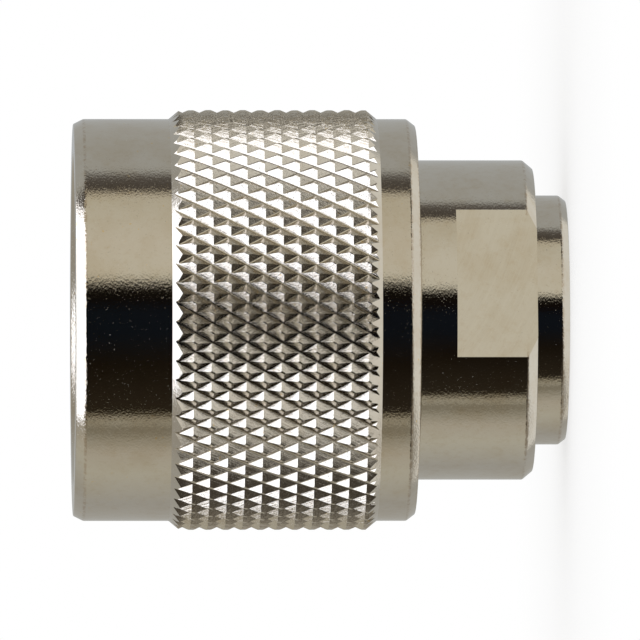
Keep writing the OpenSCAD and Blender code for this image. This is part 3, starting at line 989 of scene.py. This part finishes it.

# %% [markdown]
# ## Finishes
# The plating is bright nickel with a warm cast. Up close it isn't a perfect mirror.
# The plated skin is slightly pebbly, with a few pits, and fine turning marks run
# round it. Handling leaves faint brownish patches, and some turned corners carry
# brown dashes. All of this is small next to the form, so it goes into the shader: noise
# in Object coordinates for the pebbles and patches, and noise that changes fast along
# the axis and slowly round it for the turning marks.
#
# Some pieces have a mark of their own, and each is a small function. The wrench
# flats show arcs from the milling cutter, which are noise over the distance from the
# cutter's centre. The arcs are real marks in the skin, and their lighter colour is a
# painted sheen where they would catch the light. The knurl's flanks show streaks along
# the grooves. A groove is a helix, and turning the space by an angle that grows with
# height makes it upright.

# %% Noise and rubbed corners
def noise(finish, vector, scale, detail=2.0, rough=0.5):
    """Smooth random values round a half, with about scale features to a millimetre."""
    inputs = {"Vector": vector, "Scale": scale, "Detail": detail, "Roughness": rough}
    return finish.add("ShaderNodeTexNoise", {"noise_dimensions": "3D"}, inputs)


def brown_corner_dashes(finish, millimetres, corners):
    """Up to 1 in dashes along turned corners, each given by its height and radius, and else 0."""
    x, y, z = finish.split(millimetres)
    radius = (x * x + y * y) ** 0.5
    dashes = noise(finish, millimetres, 3.4, 3.0, 0.7).ease(0.38, 0.62)
    dashed = 0.0
    for corner_z, corner_r in corners:
        near = abs(z - corner_z).ease(0.11, 0.02) * radius.ease(corner_r - 0.15, corner_r - 0.1)
        dashed = near * dashes + dashed
    return dashed


print("marks for every turned piece: noise, rubbed corners")

# %% Milling marks and knurl streaks
CUTTER_X, CUTTER_Z = 9.0, 24.0


def milling(finish, millimetres):
    """Arcs round the cutter's centre, and a mask that is 1 on the flats."""
    x, y, z = finish.split(millimetres)
    from_cutter = ((x - CUTTER_X) * (x - CUTTER_X) + (z - CUTTER_Z) * (z - CUTTER_Z)) ** 0.5
    arcs = noise(finish, finish.join(from_cutter, 0.0, x * 0.05), 6.0, 4.0, 0.7)
    on_plane = abs(y).ease(FLAT_Y - 0.015, FLAT_Y - 0.005) * (1 - abs(y).ease(FLAT_Y + 0.005, FLAT_Y + 0.02))
    return arcs, on_plane * z.ease(FLAT_Z[1] + 0.01, FLAT_Z[1])


def knurl_streaks(finish, millimetres, height):
    """Noise drawn out along both groove families, and weaker on the shoulder cones."""
    z = finish.split(millimetres)[2]
    inside = (z - knurl_z0).ease(0.25, 0.75) * (knurl_z1 - z).ease(0.25, 0.75)
    strength = inside * (height * 0.75) + height * 0.25
    streaks = 0.0
    for lean in (-1, 1):
        turn = z * (lean * math.tan(GROOVE_ANGLE) / knurl_r)
        inputs = {"Vector": millimetres, "Angle": turn}
        upright = finish.add("ShaderNodeVectorRotate", {"rotation_type": "Z_AXIS"}, inputs)
        x, y, along = finish.split(upright)
        streaks = noise(finish, finish.join(x, y, along * 0.07), 7.0, 4.0, 0.7) * strength + streaks
    return streaks


print("marks for single pieces: milling, knurl streaks")

# %% The graph of a metal
NICKEL = (0.665, 0.615, 0.535, 1.0)
NICKEL_STAIN = (0.61, 0.54, 0.435, 1.0)
CORNER_BROWN = (0.40, 0.29, 0.18, 1.0)
MILLING_ARC_SHEEN = (0.80, 0.75, 0.67, 1.0)
SPECK_BROWN = (0.72, 0.52, 0.22, 1.0)


def metal(name, colour, tint, roughness, grain, marks, specks=0.0, milled=False, streaks=0.0, corners=()):
    """Plated metal: pebbles, pits and turning marks in the skin, and stains in the colour."""
    material = bpy.data.materials.new(name)
    finish = Finish(material)
    place = finish.add("ShaderNodeTexCoord", None, None, 3)
    millimetres = finish.add("ShaderNodeVectorMath", {"operation": "SCALE"}, {0: place, 3: 1 / MM})
    x, y, z = finish.split(millimetres)
    radius = (x * x + y * y) ** 0.5

    pebbles = noise(finish, finish.join(x * 0.8, y * 0.8, z * 1.3), 10.0, 1.5, 0.6)
    pits = noise(finish, millimetres, 12.0, 2.0, 0.6).ease(0.66, 0.76)
    lathe = noise(finish, finish.join(x * 0.15, y * 0.15, z + radius * 1.7), 9.0, 4.0, 0.7)
    dashed = brown_corner_dashes(finish, millimetres, corners)
    skin = pebbles * grain + lathe * marks - pits * (grain * 0.4) - dashed * pebbles * 0.012

    patches = noise(finish, millimetres, 0.35, 4.0, 0.6).ease(0.42, 0.72)
    mottle = noise(finish, millimetres, 2.6, 4.0, 0.7).ease(0.45, 0.75)
    stain = patches * 0.75 + mottle * 0.5
    shade = finish.mix(stain, colour, tint)
    if streaks:
        skin = skin + knurl_streaks(finish, millimetres, streaks)
    if milled:
        arcs, on_flat = milling(finish, millimetres)
        skin = skin * (1 - on_flat * 0.5) + arcs * on_flat * 0.006
        # The milling arcs lighten the colour a little: a painted sheen that stands in for the light the
        # cutter marks catch.
        shade = finish.mix(arcs.ease(0.35, 0.7) * on_flat * 0.2, shade, MILLING_ARC_SHEEN)
    # Brown dashes along the listed turned corners, mixed into the colour.
    shade = finish.mix(dashed * 0.5, shade, CORNER_BROWN)
    fleck = noise(finish, millimetres, 3.1, 2.0, 0.6).ease(0.70, 0.74) * specks
    inputs = {
        "Base Color": finish.mix(fleck, shade, SPECK_BROWN),
        "Metallic": 1.0,
        "Roughness": lathe.ease(0.3, 0.8) * 0.04 + stain * 0.03 + roughness,
        "Normal": finish.add("ShaderNodeBump", None, {"Height": skin, "Strength": 1.0, "Distance": MM}),
    }
    shader = finish.add("ShaderNodeBsdfPrincipled", None, inputs)
    finish.add("ShaderNodeOutputMaterial", None, {0: shader})
    return material


print("one graph for every metal")

# %% [markdown]
# ### One graph, six metals
# The big mirror-like pieces have the least roughness and the most pebbles, because there
# the waviness of the plating shows. Small contact parts are finer and a little duller.
# The corners with brown dashes are given by their height and radius, since other edges
# at the same height stay clean.

# %% Metals of the plug
nut_nickel = metal(
    "nickel_nut", NICKEL, NICKEL_STAIN, roughness=0.03, grain=0.0065, marks=0.0018, specks=0.5,
    corners=(
        (nut_z0, NUT_R - REAR_CHAMFER_RISE),
        (nut_z0 + REAR_CHAMFER_LEN, NUT_R),
        (nut_z1 - FRONT_CHAMFER_LEN, NUT_R),
    ))
knurl_nickel = metal(
    "nickel_knurl", NICKEL, (0.62, 0.555, 0.46, 1.0),
    roughness=0.08, grain=0.004, marks=0.0, specks=0.5, streaks=0.016)
body_nickel = metal(
    "nickel_body", (0.675, 0.63, 0.555, 1.0), NICKEL_STAIN, roughness=0.03, grain=0.0060, marks=0.0016,
    milled=True, corners=((FLAT_Z[0] + BODY_CHAMFER_LEN, body_r), (COLLAR_CHAMFER_LEN, COLLAR_R)))
contact_nickel = metal(
    "nickel_contact", (0.70, 0.66, 0.58, 1.0), (0.66, 0.60, 0.50, 1.0),
    roughness=0.14, grain=0.0010, marks=0.0010)
bronze = metal(
    "spring_bronze", (0.72, 0.55, 0.32, 1.0), (0.62, 0.44, 0.24, 1.0),
    roughness=0.22, grain=0.0012, marks=0.0008)
gold = metal(
    "gold_contact", (0.95, 0.73, 0.36, 1.0), (0.90, 0.66, 0.30, 1.0),
    roughness=0.12, grain=0.0008, marks=0.0010)
print("metal finishes:", nut_nickel.name, body_nickel.name, contact_nickel.name, bronze.name, gold.name)

# %% [markdown]
# PTFE is a waxy white with a soft sheen. Silicone rubber is matt and slightly dusty.
# Both take the same graph with other numbers: a cloudy change of tone, and a fine
# grain in the surface.

# %% Plastic and rubber finishes
def plain_material(name, colour, dusty, roughness, grain):
    """Plastic or rubber: a cloudy tone and a fine grain."""
    material = bpy.data.materials.new(name)
    finish = Finish(material)
    place = finish.add("ShaderNodeTexCoord", None, None, 3)
    cloud = finish.add("ShaderNodeTexNoise", None, {"Vector": place, "Scale": 900.0, "Detail": 4.0})
    fine = finish.add("ShaderNodeTexNoise", None, {"Vector": place, "Scale": 9000.0, "Detail": 3.0})
    normal = finish.add("ShaderNodeBump", None, {"Height": fine * grain, "Strength": 1.0, "Distance": MM})
    inputs = {
        "Base Color": finish.mix(cloud.ease(0.35, 0.75), colour, dusty),
        "Roughness": cloud * 0.1 + roughness,
        "Normal": normal,
    }
    shader = finish.add("ShaderNodeBsdfPrincipled", None, inputs)
    finish.add("ShaderNodeOutputMaterial", None, {0: shader})
    return material


ptfe = plain_material("ptfe", (0.88, 0.88, 0.85, 1.0), (0.82, 0.82, 0.78, 1.0), 0.42, 0.002)
silicone = plain_material("silicone", (0.34, 0.045, 0.025, 1.0), (0.40, 0.075, 0.05, 1.0), 0.55, 0.006)
print("plastic and rubber finishes:", ptfe.name, silicone.name)

# %% [markdown]
# ## Dressing the plug
# The new pieces and the solids that stay visible are listed by their finish. A solid
# keeps its mesh, and only its material changes. The snap ring, the clamp parts and the
# beads are nearly hidden, and a good material is all that they need.

# %% Give every part its finish
FINISHES = {
    nut_nickel: [nut_turning],
    knurl_nickel: [knurl],
    body_nickel: [body_piece],
    contact_nickel: [sleeve, finger_piece],
    gold: [pin],
    silicone: [gasket],
}
CAD_FINISHES = {
    bronze: ["retaining_ring"],
    body_nickel: ["clamp_nut"],
    contact_nickel: ["braid_clamp", "clamp_washer"],
    ptfe: ["front_insulator", "rear_insulator"],
    silicone: ["cable_gasket"],
}


def dress(piece, material):
    """One material on the whole piece."""
    piece.data.materials.clear()
    piece.data.materials.append(material)


for material, pieces in FINISHES.items():
    for piece in pieces:
        dress(piece, material)
for material, names in CAD_FINISHES.items():
    for name in names:
        dress(frame["nodes"][name], material)
print("finished pieces:", sum(len(p) for p in FINISHES.values()) + sum(len(n) for n in CAD_FINISHES.values()))
